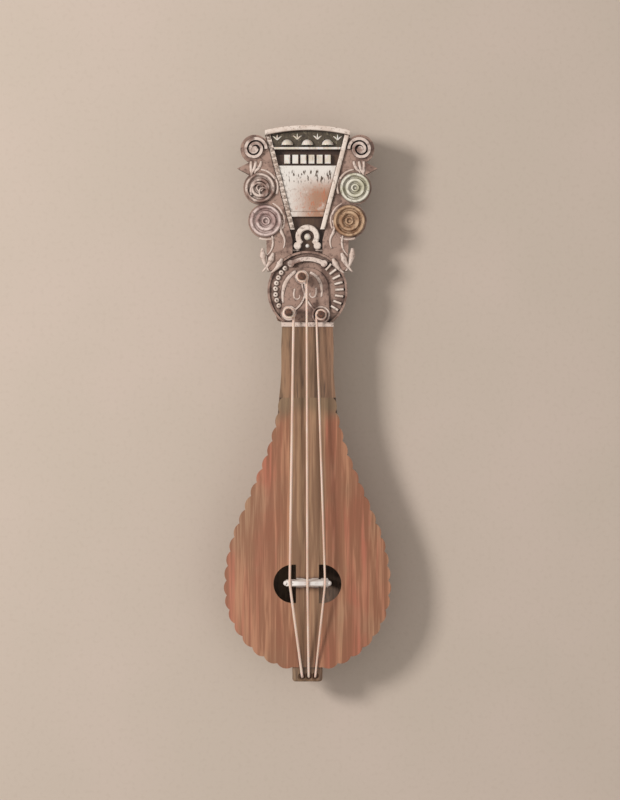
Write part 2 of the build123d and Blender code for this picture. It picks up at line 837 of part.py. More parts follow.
with BuildPart() as disc_band:
    with BuildSketch(Plane.XY.offset(disc_face)):
        with BuildLine() as bow:
            CenterArc((0, disc_y), bead_ring_radius, 90 - band_half_angle, 2 * band_half_angle)
        trace(bow.line, band_width)
        for end in (bow.line @ 0, bow.line @ 1):
            with Locations(end):
                Circle(band_width * 0.8)
    extrude(amount=band_height, dir=(0, 0, 1))

save(disc_band, "disc_band")

with BuildPart() as disc_tracery:
    with BuildSketch(Plane.XY.offset(field_face)):
        for place, ring in zip(pegs, tracery_ring_radius):
            with Locations(place):
                Circle(ring)
        with BuildLine() as sweep_line:
            RadiusArc(pegs[0], pegs[1], -field_radius * 1.2)
        trace(sweep_line.line, tracery_band)
        with BuildLine() as cross_line:
            RadiusArc(pegs[1], pegs[2], -field_radius * 2)
        trace(cross_line.line, tracery_band)
        for place, ring in zip(pegs, tracery_ring_radius):
            with Locations(place):
                Circle(ring - tracery_band, mode=Mode.SUBTRACT)
        with Locations((0, neck_end_y)):
            Rectangle(
                2 * disc_radius, disc_radius, align=(Align.CENTER, Align.MAX), mode=Mode.SUBTRACT
            )
    extrude(amount=tracery_height, dir=(0, 0, 1))

save(disc_tracery, "disc_tracery")

with BuildPart() as neck_collar:
    with BuildSketch(Plane.XY.offset(head_front)):
        with Locations((0, collar_y)):
            Rectangle(2 * neck_half_width, collar_length, align=(Align.CENTER, Align.MIN))
    extrude(amount=head_setback + collar_lift)
    fillet(neck_collar.edges().group_by(Axis.Z)[-1].filter_by(Axis.X), collar_lift)

save(neck_collar, "neck_collar")

# ---- Pegs, windings and strings ---------------------------------------------------------------

leave_z = field_face + winding_lift


def string_lie(i):
    """How string i leaves its winding and where it crosses the bridge."""
    side = -1 if i == 2 else 1
    coil_radius = peg_tip_radius + string_radius[i] + string_seat
    seat_x = (i - 1) * bridge_spread
    seat = Vector(seat_x, bridge_y, bridge_arc_z(seat_x) + string_seat + string_radius[i])
    span = Vector(seat_x, bridge_y) - Vector(*pegs[i])
    lean = degrees(asin(coil_radius / span.length))
    leave_dir = span.normalized().rotate(Axis.Z, -side * lean)
    out_dir = Vector(-leave_dir.Y, leave_dir.X) * side
    frame = Plane((*pegs[i], leave_z), x_dir=out_dir, z_dir=(0, 0, 1))
    return frame, side, coil_radius, leave_dir, seat


def coil_point(frame, side, radius, pitch, angle):
    """A point of a coil's centre line, its angle counted back from where the string leaves."""
    return frame.from_local_coords(
        Vector(radius * cos(angle), side * radius * sin(angle), pitch * angle / (2 * pi))
    )


def coil_heading(frame, side, radius, pitch, angle):
    """The direction of travel there, down the coil and toward the bridge."""
    local = Vector(radius * sin(angle), -side * radius * cos(angle), -pitch / (2 * pi))
    return (frame.from_local_coords(local) - frame.origin).normalized()


def biarc_middle(start, start_dir, end, end_dir):
    """Where the two equal-armed arcs between two directed points meet, and their direction there."""
    chord = end - start
    total = start_dir + end_dir
    bend = 2 * (1 - start_dir.dot(end_dir))
    arm = (sqrt(chord.dot(total) ** 2 + bend * chord.dot(chord)) - chord.dot(total)) / bend
    near, far = start + start_dir * arm, end - end_dir * arm
    return (near + far) * 0.5, (far - near).normalized()


for i, name in enumerate(string_names):
    frame, side, coil_radius, leave_dir, seat = string_lie(i)
    wire_radius = string_radius[i]
    pitch = 2 * wire_radius + winding_gap
    coil = (frame, side, coil_radius, pitch)
    bend_start = sqrt((coil_radius - winding_start_bend) ** 2 - winding_start_bend**2)
    last_angle = 2 * pi * winding_turns
    hole_angle = last_angle + atan2(winding_start_bend, bend_start)
    hole_z = leave_z + pitch * winding_turns
    hole_dir = coil_point(frame, side, 1, 0, hole_angle) - frame.origin
    hole_centre = Vector(*pegs[i], hole_z)

    # A winding: out of the peg's string hole, round the tip by quarter turns, then off along the string
    marks = [(hole_centre + hole_dir * bend_start, hole_dir)]
    for quarter in range(4 * winding_turns, -1, -1):
        angle = quarter * pi / 2
        marks.append((coil_point(*coil, angle), coil_heading(*coil, angle)))
    marks[-1] = (marks[-1][0], leave_dir)
    with BuildPart() as winding:
        with BuildLine() as route:
            Line(hole_centre, marks[0][0])
            for (start, start_dir), (end, end_dir) in zip(marks, marks[1:]):
                middle, middle_dir = biarc_middle(start, start_dir, end, end_dir)
                TangentArc(start, middle, tangent=start_dir)
                TangentArc(middle, end, tangent=middle_dir)
            Line(marks[-1][0], marks[-1][0] + leave_dir * 2 * wire_radius)
        with BuildSketch(Plane(hole_centre, z_dir=hole_dir)):
            Circle(wire_radius)
        sweep()
    save(winding, f"winding_{name}")

    wire = route.wire()
    samples = [wire.position_at(k / 400) for k in range(401)]
    turn_steps = int(400 * 0.75 * 2 * pi * coil_radius / wire.length)
    gap = min((a - b).length for k, a in enumerate(samples) for b in samples[k + turn_steps :])
    print(name, "winding gap", round(gap - 2 * wire_radius, 3), "volume share",
          round(winding.part.volume / (pi * wire_radius**2 * wire.length), 4))

    # A peg: handle behind the slab, shank, shaft through slab and disc, and the tip that holds the string
    upright = Plane((*pegs[i], 0), x_dir=(1, 0, 0), z_dir=(0, -1, 0))
    across = Vector(1, 0).rotate(Axis.Z, peg_turn[i])
    flat = Plane((*pegs[i], 0), x_dir=across, z_dir=across.cross(Vector(0, 0, 1)))
    with BuildPart() as peg:
        with BuildSketch(flat):
            with Locations((0, peg_handle_height / 2 - seat_gap)):
                Ellipse(peg_handle_width / 2, peg_handle_height / 2)
            with Locations(
                (-peg_handle_width * 0.42, peg_handle_height), (peg_handle_width * 0.42, peg_handle_height)
            ):
                Circle(peg_handle_height * 0.3, mode=Mode.SUBTRACT)
        extrude(amount=peg_handle_thickness / 2, both=True)
        chamfer(peg.edges().filter_by(GeomType.LINE, reverse=True), peg_handle_round)
        with BuildSketch(upright):
            with BuildLine():
                Polyline(
                    (0, peg_handle_height * 0.7),
                    (peg_shank_radius * 0.7, peg_handle_height * 0.7),
                    (peg_shank_radius * 0.7, peg_handle_height),
                    (peg_shank_radius, head_back - peg_shank_radius * 0.5),
                    (peg_shank_radius, head_back - seat_gap),
                    (peg_shaft_radius, head_back - seat_gap),
                    (peg_shaft_radius, field_face + tracery_height),
                    (peg_tip_radius, field_face + tracery_height + peg_shaft_radius - peg_tip_radius),
                    (peg_tip_radius, peg_tip_top - peg_tip_radius * 0.4),
                    (peg_tip_radius * 0.6, peg_tip_top),
                    (0, peg_tip_top),
                    (0, peg_handle_height * 0.7),
                )
            make_face()
        revolve(axis=Axis((*pegs[i], 0), (0, 0, 1)))
        with BuildSketch(Plane(hole_centre, z_dir=hole_dir)):
            Circle(wire_radius + string_seat)
        extrude(amount=peg_tip_radius * 1.2, both=True, mode=Mode.SUBTRACT)
        split(bisect_by=Plane.XY, keep=Keep.TOP)
    save(peg, f"peg_{name}")

    # A string: straight to the bridge, over it, straight to the tail block and down to its knot
    start = marks[-1][0] + leave_dir * (2 * wire_radius + string_gap)
    turn_point = Vector(*tail_holes[i], tail_block_top + wire_radius + string_seat)
    knot_centre = Vector(*tail_holes[i], tail_block_low - knot_radius)
    with BuildPart() as string:
        with BuildLine() as course:
            FilletPolyline(
                start,
                seat,
                turn_point,
                knot_centre,
                radius=[bridge_top_thickness / 2 + wire_radius, string_bend + wire_radius],
            )
        with BuildSketch(Plane(start, z_dir=seat - start)):
            Circle(wire_radius)
        sweep()
        swept = string.part.volume / (pi * wire_radius**2 * course.wire().length)
        with Locations(knot_centre):
            Sphere(knot_radius)
    save(string, f"string_{name}")
    print(name, "string volume share", round(swept, 4), "arcs",
          [round(edge.radius, 2) for edge in course.edges().filter_by(GeomType.CIRCLE)])
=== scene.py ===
"""Looks of a three-string Cretan lyra: woods, bone, gut and the carving of its head."""

import math

import bpy
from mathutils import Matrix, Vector


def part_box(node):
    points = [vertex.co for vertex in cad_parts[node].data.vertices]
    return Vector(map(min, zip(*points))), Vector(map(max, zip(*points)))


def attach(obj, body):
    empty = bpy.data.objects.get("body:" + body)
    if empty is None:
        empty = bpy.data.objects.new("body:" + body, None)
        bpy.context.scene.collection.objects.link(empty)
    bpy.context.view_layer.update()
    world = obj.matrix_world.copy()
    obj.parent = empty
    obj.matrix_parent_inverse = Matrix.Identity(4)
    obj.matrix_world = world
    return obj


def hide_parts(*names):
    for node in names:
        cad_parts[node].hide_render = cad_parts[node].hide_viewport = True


bl_info = {
    "name": "Cretan lyra looks",
    "version": (1, 0, 0),
    "blender": (4, 5, 0),
    "location": "3D View > Sidebar > Lyra",
    "description": "Finishes and carving of a pear-shaped bowed lyra with a carved head",
    "category": "Object",
}

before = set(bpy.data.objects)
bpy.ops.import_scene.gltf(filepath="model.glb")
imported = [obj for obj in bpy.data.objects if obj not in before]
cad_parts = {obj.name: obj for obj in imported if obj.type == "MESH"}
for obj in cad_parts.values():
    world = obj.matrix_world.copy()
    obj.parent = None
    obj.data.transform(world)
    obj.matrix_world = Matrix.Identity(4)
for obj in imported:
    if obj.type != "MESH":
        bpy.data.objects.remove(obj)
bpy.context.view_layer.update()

MM = 0.001
BODY = "lyra_body"


# ---- Places read from the frame ---------------------------------------------------------------


def middle(node):
    """The middle of a CAD node's box."""
    low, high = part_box(node)
    return (low + high) / 2


def size(node):
    """The lengths of a CAD node's box."""
    low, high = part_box(node)
    return high - low


def base(node):
    """The middle of the underside of a CAD node's box."""
    spot = middle(node)
    spot.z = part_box(node)[0].z
    return spot


def linear(red, green, blue):
    """A display colour from 0 to 255 as the linear values that a shader takes."""
    return tuple(
        (v / 255 / 12.92) if v <= 10 else ((v / 255 + 0.055) / 1.055) ** 2.4 for v in (red, green, blue)
    )


# ---- What a user may change -------------------------------------------------------------------


def colour(label, use, red, green, blue):
    """A colour property given by its display values."""
    return bpy.props.FloatVectorProperty(
        name=label, description=use, subtype="COLOR", size=3, min=0, max=1, default=linear(red, green, blue)
    )


def length(label, use, value):
    """A length property in metres."""
    return bpy.props.FloatProperty(name=label, description=use, unit="LENGTH", default=value, min=0)


class LyraColours(bpy.types.PropertyGroup):
    floor: colour("Floor", "Pale paper-coloured floor", 203, 186, 170)
    board: colour("Soundboard", "Reddish soundboard wood", 188, 133, 100)
    board_dark: colour("Soundboard grain", "Dark grain lines of the soundboard", 136, 86, 58)
    board_red: colour("Soundboard streaks", "Red streaks in the soundboard", 184, 110, 84)
    olive: colour("Rubbed strip", "Olive wood between the outer strings", 172, 136, 104)
    neck: colour("Neck", "Wood of the neck and the bowl", 146, 117, 88)
    # neck_dark is also the painted shade on the soundboard's side faces, besides the grain.
    neck_dark: colour("Neck grain", "Dark grain of the neck and the bowl", 104, 78, 56)
    # ground is also the colour of painted shade in the hollows of soundboard, bowl and carving and over the
    # head slab; besides that it colours the bowl's pores and dark flecks.
    ground: colour("Carving ground", "Dark wood in the depth of the carving", 74, 52, 43)
    carved: colour("Carved wood", "Middle tone of the carved wood", 146, 114, 101)
    rubbed: colour("Rubbed carving", "Pale high spots of the carved wood", 226, 204, 190)
    pale: colour("Pale wood", "Rails and cornice", 222, 200, 184)
    frieze: colour("Frieze", "Dark olive ground of the frieze", 84, 72, 56)
    bone: colour("Bone", "Tiles, domes and pearls", 238, 229, 219)
    bone_stain: colour("Bone stain", "Orange-brown stain of the plaque", 176, 132, 106)
    peg: colour("Peg wood", "Brown wood of the pegs", 118, 78, 58)
    gut: colour("Gut", "Gut strings", 240, 212, 194)
    bridge: colour("Bridge", "Painted bone of the bridge", 242, 234, 226)


class LyraSizes(bpy.types.PropertyGroup):
    grain: length("Grain", "Distance between grain lines of the soundboard", 3.6 * MM)
    curl_width: length("Curl width", "Width of the carved curls on the wings", 2.4 * MM)
    curl_height: length("Curl height", "Height of the carved curls over the wings", 2.0 * MM)
    view_height: length("View height", "Height of the field of view at the floor", 689.6 * MM)
    camera_height: length("Camera height", "Height of the camera over the lyra", 2.6)
    shift_x: bpy.props.FloatProperty(
        name="Camera X", description="Camera place along X", unit="LENGTH", default=2.2 * MM
    )
    shift_y: bpy.props.FloatProperty(
        name="Camera Y", description="Camera place along Y", unit="LENGTH", default=3.0 * MM
    )


def colours():
    return bpy.context.scene.lyra_colours


def sizes():
    return bpy.context.scene.lyra_sizes


# ---- Finishes ---------------------------------------------------------------------------------


class Finish:
    """A procedural material that is put together socket by socket."""

    def __init__(self, name):
        self.material = bpy.data.materials.new("lyra_" + name)
        self.material.use_nodes = True
        self.tree = self.material.node_tree
        self.tree.nodes.clear()
        self.place = self.node("TexCoord").outputs["Object"]

    def node(self, kind, inputs=(), **settings):
        """A node with its settings, and its inputs as values or sockets."""
        made = self.tree.nodes.new("ShaderNode" + kind)
        for name, value in settings.items():
            setattr(made, name, value)
        for name, value in dict(inputs).items():
            if isinstance(value, bpy.types.NodeSocket):
                self.tree.links.new(value, made.inputs[name])
            else:
                made.inputs[name].default_value = value
        return made

    def math(self, operation, first, second=0.0):
        """The outcome of one sum."""
        return self.node("Math", {0: first, 1: second}, operation=operation).outputs[0]

    def mapped(self, scale, turn=(0, 0, 0)):
        """Object coordinates turned and stretched for a pattern."""
        return self.node("Mapping", {"Vector": self.place, "Scale": scale, "Rotation": turn}).outputs[0]

    def noise(self, scale, stretch=(1, 1, 1), detail=4.0, distortion=0.0):
        """Noise of so many spots a metre."""
        return self.node(
            "TexNoise",
            {
                "Vector": self.mapped(stretch),
                "Scale": scale,
                "Detail": detail,
                "Distortion": distortion,
            },
        ).outputs["Fac"]

    def between(self, value, low, high, start=0.0, end=1.0):
        """A smooth step of value from low to high."""
        return self.node(
            "MapRange",
            {"Value": value, "From Min": low, "From Max": high, "To Min": start, "To Max": end},
            interpolation_type="SMOOTHSTEP",
        ).outputs[0]

    def mix(self, share, first, second):
        """A mix of two colours, given as sockets or linear colours."""
        made = self.node("Mix", data_type="RGBA")
        for socket, value in ((made.inputs[0], share), (made.inputs[6], first), (made.inputs[7], second)):
            if isinstance(value, bpy.types.NodeSocket):
                self.tree.links.new(value, socket)
            else:
                socket.default_value = value if socket == made.inputs[0] else (*value[:3], 1.0)
        return made.outputs[2]

    def hollows(self, reach, low=0.35, high=0.95):
        """Ambient occlusion as a share for painted shade: 1 on open surface and 0 deep in the carving,
        where the shade is painted.
        """
        shelter = self.node("AmbientOcclusion", {"Distance": reach}, samples=12).outputs["AO"]
        return self.between(shelter, low, high)

    def bump(self, height, depth, strength):
        """Small relief, so deep and so strong."""
        return self.node("Bump", {"Height": height, "Distance": depth, "Strength": strength}).outputs[0]

    def done(self, base_colour, roughness, normal=None, **fixed):
        """The shader over all of it."""
        inputs = {"Base Color": base_colour, "Roughness": roughness}
        if normal is not None:
            inputs["Normal"] = normal
        for name, value in fixed.items():
            inputs[name.replace("_", " ")] = value
        shader = self.node("BsdfPrincipled", inputs)
        output = self.node("OutputMaterial")
        self.tree.links.new(shader.outputs[0], output.inputs[0])
        return self.material


def made_once(maker):
    """Each finish is made once and shared."""
    found = bpy.data.materials.get("lyra_" + maker.__name__)
    return found if found else maker()


def soundboard_wood():
    """Reddish softwood with dark grain, red streaks, and an olive strip rubbed between the strings."""
    use = Finish("soundboard_wood")
    c = colours()
    lines = 1 / sizes().grain
    grain = use.noise(lines, (1, 0.045, 0.2), detail=5, distortion=0.5)
    streaks = use.noise(lines / 4, (1, 0.07, 0.2), detail=2, distortion=0.8)
    blotch = use.noise(28, (1, 0.7, 1), detail=3)
    fine = use.noise(lines * 3.5, (1, 0.03, 0.2), detail=3)
    x, y, _ = use.node("SeparateXYZ", {0: use.place}).outputs
    red = use.mix(use.between(streaks, 0.44, 0.66), c.board, c.board_red)
    red = use.mix(use.between(blotch, 0.42, 0.7, 0, 0.75), red, c.olive)
    tail_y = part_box("string_middle")[0].y
    seat_y = middle("bridge").y
    spread = size("bridge").x * 0.37
    half = use.between(y, tail_y, seat_y, size("tail_block").x * 0.2, spread)
    edge = use.math("SUBTRACT", use.math("ABSOLUTE", x), half)
    strip = use.between(edge, -1.4 * MM, 1.4 * MM, 0.8, 0.0)
    neck_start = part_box("soundboard")[1].y
    wander = use.math("MULTIPLY", use.noise(30, detail=2), 24 * MM)
    upper = use.between(use.math("ADD", y, wander), neck_start - 12 * MM, neck_start + 6 * MM)
    wood = use.mix(strip, red, c.olive)
    olive_grain = linear(120, 92, 68)
    not_red = use.math("MAXIMUM", upper, use.math("MULTIPLY", strip, 0.8))
    dark = use.mix(not_red, c.board_dark, olive_grain)
    wood = use.mix(upper, wood, c.neck)
    wood = use.mix(use.between(grain, 0.42, 0.62, 0.75, 0), wood, dark)
    wood = use.mix(use.between(fine, 0.35, 0.6, 0.3, 0), wood, dark)
    # Painted shade: faces that turn away from the top, the soundboard's edges, go to the dark neck colour.
    side = use.node("NewGeometry").outputs["Normal"]
    facing = use.node("SeparateXYZ", {0: side}).outputs[2]
    wood = use.mix(use.between(facing, 0.3, 0.8, 1, 0), wood, c.neck_dark)
    # Painted shade in the hollows, in the carving-ground colour.
    wood = use.mix(use.hollows(5 * MM, 0.45, 0.9), c.ground, wood)
    height = use.math("ADD", grain, use.math("MULTIPLY", fine, 0.5))
    return use.done(
        wood,
        use.between(grain, 0.3, 0.7, 0.62, 0.42),
        use.bump(height, 0.25 * MM, 0.6),
        Coat_Weight=0.08,
        Coat_Roughness=0.4,
    )


def block_wood():
    """Olive-brown hardwood of bowl, neck and head slab, with painted shade: darker under the carving, in
    the hollows and towards +X.
    """
    use = Finish("block_wood")
    c = colours()
    grain = use.noise(210, (1, 0.06, 0.35), detail=5, distortion=0.6)
    pores = use.noise(900, (1, 0.05, 1), detail=2)
    cloud = use.noise(18, (1, 0.4, 1), detail=3)
    x, y, _ = use.node("SeparateXYZ", {0: use.place}).outputs
    # Painted shade: the wood darkens from -X to +X, the side away from the key lamp.
    wood = use.mix(use.between(x, -20 * MM, 20 * MM), c.neck, linear(132, 104, 81))
    wood = use.mix(use.between(cloud, 0.4, 0.65, 0.0, 0.5), wood, c.board)
    wood = use.mix(use.between(grain, 0.38, 0.62, 0.75, 0), wood, c.neck_dark)
    wood = use.mix(use.between(pores, 0.3, 0.45, 0.6, 0), wood, c.ground)
    # Painted shade: the head slab under the carved pieces turns to the dark ground colour, with its grain
    # kept.
    head = use.between(y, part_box("neck_collar")[0].y, middle("neck_collar").y + 4 * MM)
    wood = use.mix(head, wood, use.mix(use.between(grain, 0.35, 0.65), c.ground, c.neck_dark))
    # Painted shade in the hollows.
    wood = use.mix(use.hollows(12 * MM, 0.2, 0.85), c.ground, wood)
    height = use.math("ADD", grain, use.math("MULTIPLY", pores, 0.6))
    return use.done(
        wood,
        use.between(cloud, 0.3, 0.7, 0.55, 0.4),
        use.bump(height, 0.2 * MM, 0.5),
        Coat_Weight=0.1,
        Coat_Roughness=0.35,
    )


def carved(name, low, mid, high, reach=2.2 * MM):
    """Carved wood: painted shade darkens its depth and its steep sides to the low colour, which also makes
    the dark flecks; pale rubbed patches lie at random on the rest.
    """
    use = Finish(name)
    fleck = use.noise(420, detail=4, distortion=0.4)
    cloud = use.noise(95, detail=3)
    scratch = use.noise(700, (1, 0.15, 1), detail=2)
    open_share = use.hollows(reach, 0.3, 0.8)
    tone = use.mix(use.between(cloud, 0.34, 0.56), mid, high)
    tone = use.mix(use.between(fleck, 0.34, 0.46, 0.5, 0), tone, low)
    # Painted shade: deep in the carving the low colour takes over.
    tone = use.mix(open_share, low, tone)
    # Painted shade: steep sides, facing away from the top, turn towards the low colour.
    facing = use.node("SeparateXYZ", {0: use.node("NewGeometry").outputs["Normal"]}).outputs[2]
    tone = use.mix(use.between(facing, 0.05, 0.7, 0.6, 0), tone, low)
    height = use.math("ADD", fleck, use.math("MULTIPLY", scratch, 0.5))
    return use.done(
        tone,
        use.between(fleck, 0.3, 0.7, 0.7, 0.45),
        use.bump(height, 0.25 * MM, 0.7),
    )


# Each carved finish below gives carved() its low colour, which is the painted shade and the dark flecks,
# then its middle and pale tones.
def carved_wood():
    c = colours()
    return carved("carved_wood", c.ground, c.carved, c.rubbed)


def wing_wood():
    return carved("wing_wood", linear(58, 40, 34), linear(116, 88, 76), linear(170, 138, 122), 4 * MM)


def pale_wood():
    c = colours()
    return carved("pale_wood", linear(110, 84, 68), c.pale, linear(238, 220, 206), 2.4 * MM)


def mauve_wood():
    return carved("mauve_wood", linear(80, 54, 50), linear(182, 150, 142), linear(228, 204, 195))


def green_bone():
    return carved("green_bone", linear(74, 64, 46), linear(204, 196, 168), linear(240, 232, 214))


def brown_wood():
    return carved("brown_wood", linear(76, 48, 34), linear(158, 116, 84), linear(206, 170, 136))


def pale_carving():
    return carved("pale_carving", linear(96, 70, 60), linear(206, 180, 164), colours().rubbed, 1.6 * MM)


def frieze_wood():
    """Dark olive ground between the bone domes, with pale chips."""
    use = Finish("frieze_wood")
    c = colours()
    # One dark colour for the grain and for the painted shade in the hollows.
    dark_grain_and_shade = linear(44, 34, 28)
    chips = use.noise(330, detail=5, distortion=1.2)
    grain = use.noise(600, (1, 0.2, 1), detail=3)
    tone = use.mix(use.between(chips, 0.56, 0.7, 0, 0.8), c.frieze, linear(150, 138, 112))
    tone = use.mix(use.between(grain, 0.3, 0.5, 0.6, 0), tone, dark_grain_and_shade)
    # Painted shade in the hollows between the domes.
    tone = use.mix(use.hollows(3 * MM), dark_grain_and_shade, tone)
    return use.done(tone, use.between(chips, 0.3, 0.7, 0.7, 0.5), use.bump(chips, 0.4 * MM, 0.8))


def old_bone():
    """Yellowed bone with fine cracks, and painted shade in its hollows and where it meets other parts."""
    use = Finish("old_bone")
    c = colours()
    cracks = use.noise(850, (1, 0.12, 1), detail=3, distortion=0.3)
    cloud = use.noise(120, detail=3)
    tone = use.mix(use.between(cloud, 0.4, 0.65), c.bone, linear(222, 208, 188))
    tone = use.mix(use.between(cracks, 0.3, 0.42, 0.5, 0), tone, linear(150, 120, 98))
    # Painted shade in the hollows and where the bone meets other parts.
    tone = use.mix(use.hollows(2 * MM, 0.4, 0.85), linear(120, 92, 84), tone)
    return use.done(
        tone,
        use.between(cloud, 0.3, 0.7, 0.42, 0.3),
        use.bump(cracks, 0.12 * MM, 0.6),
        Subsurface_Weight=0.08,
        Subsurface_Scale=1.5 * MM,
    )


def stained_bone():
    """The plaque: pale bone at the top, an orange-brown stain in its middle and right."""
    use = Finish("stained_bone")
    c = colours()
    low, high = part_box("crest_plaque")
    x, y, _ = use.node("SeparateXYZ", {0: use.place}).outputs
    cloud = use.noise(110, detail=4, distortion=0.6)
    fleck = use.noise(480, (1, 0.5, 1), detail=4, distortion=0.8)
    lowered = use.between(y, high.y - 4 * MM, low.y + (high.y - low.y) * 0.42, 0, 1)
    rightward = use.between(x, low.x * 0.75, high.x * 0.35, 0.12, 1)
    stain = use.math("MULTIPLY", use.math("MULTIPLY", lowered, rightward), use.between(cloud, 0.12, 0.5))
    tone = use.mix(stain, c.bone, c.bone_stain)
    tone = use.mix(
        use.math("MULTIPLY", stain, use.between(fleck, 0.55, 0.7)), tone, linear(196, 112, 78)
    )
    tone = use.mix(use.between(fleck, 0.3, 0.42, 0.45, 0), tone, linear(140, 104, 84))
    dashes = use.noise(620, (1, 0.3, 1), detail=1)
    lines = use.math(
        "MULTIPLY",
        use.between(dashes, 0.36, 0.42, 1, 0),
        use.math(
            "MULTIPLY",
            use.between(y, high.y - 17 * MM, high.y - 12 * MM),
            use.between(y, high.y - 5 * MM, high.y - 3 * MM, 1, 0),
        ),
    )
    tone = use.mix(lines, tone, linear(92, 74, 60))
    # Painted shade in the hollows of the plaque and its engraving.
    tone = use.mix(use.hollows(1.6 * MM, 0.4, 0.9), linear(96, 70, 60), tone)
    height = use.math("SUBTRACT", fleck, lines)
    return use.done(tone, use.between(fleck, 0.3, 0.7, 0.5, 0.36), use.bump(height, 0.2 * MM, 0.6))


def peg_wood():
    """Dark brown turned pegs, polished by the hand."""
    use = Finish("peg_wood")
    c = colours()
    grain = use.noise(500, (1, 1, 0.08), detail=4, distortion=0.4)
    tone = use.mix(use.between(grain, 0.35, 0.65), linear(78, 50, 38), c.peg)
    # Painted shade in the hollows of the turning and where the pegs meet other parts.
    tone = use.mix(use.hollows(2.5 * MM, 0.3, 0.9), linear(48, 32, 26), tone)
    return use.done(
        tone,
        use.between(grain, 0.3, 0.7, 0.45, 0.3),
        use.bump(grain, 0.12 * MM, 0.5),
        Coat_Weight=0.25,
        Coat_Roughness=0.25,
    )


def twisted_gut():
    """Pale gut with the fine twist of its strands."""
    use = Finish("twisted_gut")
    c = colours()
    twist = use.node(
        "TexWave",
        {"Vector": use.mapped((1, 1, 1), (0, 0, math.radians(38))), "Scale": 220, "Distortion": 1.0},
        wave_type="BANDS",
        bands_direction="X",
    ).outputs["Fac"]
    cloud = use.noise(60, (1, 0.5, 1), detail=3)
    tone = use.mix(use.between(cloud, 0.35, 0.7), c.gut, linear(226, 190, 168))
    tone = use.mix(use.between(twist, 0.0, 0.35, 0.35, 0), tone, linear(186, 146, 124))
    return use.done(
        tone,
        use.between(twist, 0, 1, 0.5, 0.36),
        use.bump(twist, 0.08 * MM, 0.6),
        Subsurface_Weight=0.1,
        Subsurface_Scale=0.8 * MM,
    )


def painted_bone():
    """White-painted bone of the bridge with rubbed chips at random, and painted shade in its hollows and
    where it meets other parts.
    """
    use = Finish("painted_bone")
    c = colours()
    cloud = use.noise(140, detail=4)
    chips = use.noise(520, detail=3, distortion=0.8)
    tone = use.mix(use.between(cloud, 0.4, 0.68), c.bridge, linear(226, 214, 206))
    tone = use.mix(use.between(chips, 0.3, 0.36, 0.7, 0), tone, linear(170, 146, 128))
    # Painted shade in the hollows and where the bridge meets the soundboard.
    tone = use.mix(use.hollows(2.5 * MM, 0.3, 0.8), linear(150, 132, 124), tone)
    return use.done(tone, use.between(chips, 0.3, 0.7, 0.5, 0.34), use.bump(chips, 0.12 * MM, 0.5))


FINISHES = {
    soundboard_wood: ["soundboard"],
    block_wood: ["bowl_neck_and_head", "tail_block", "soundpost"],
    wing_wood: ["wing_left", "wing_right", "peg_disc"],
    carved_wood: [
        "rosette_upper_left",
        "volute_left",
        "volute_right",
        "leaves_left",
        "leaves_right",
        "disc_band",
        "disc_tracery",
        "neck_collar",
    ],
    mauve_wood: ["rosette_lower_left"],
    green_bone: ["rosette_upper_right"],
    brown_wood: ["rosette_lower_right"],
    pale_wood: ["crown_cornice", "rail_plain", "rail_beaded", "horseshoe", "disc_beads", "disc_bars"],
    frieze_wood: ["frieze"],
    old_bone: ["frieze_domes", "frieze_ledge", "bone_tiles", "bone_pearls"],
    stained_bone: ["crest_plaque"],
    peg_wood: ["peg_bass", "peg_middle", "peg_treble"],
    twisted_gut: [
        "string_bass",
        "string_middle",
        "string_treble",
        "winding_bass",
        "winding_middle",
        "winding_treble",
    ],
    painted_bone: ["bridge"],
}


class LYRA_OT_finishes(bpy.types.Operator):
    """Give every node of the lyra its finish"""

    bl_idname = "lyra.finishes"
    bl_label = "Finishes"

    def execute(self, context):
        for maker, nodes in FINISHES.items():
            material = made_once(maker)
            for name in nodes:
                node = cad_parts[name]
                node.data.materials.clear()
                node.data.materials.append(material)
        return {"FINISHED"}


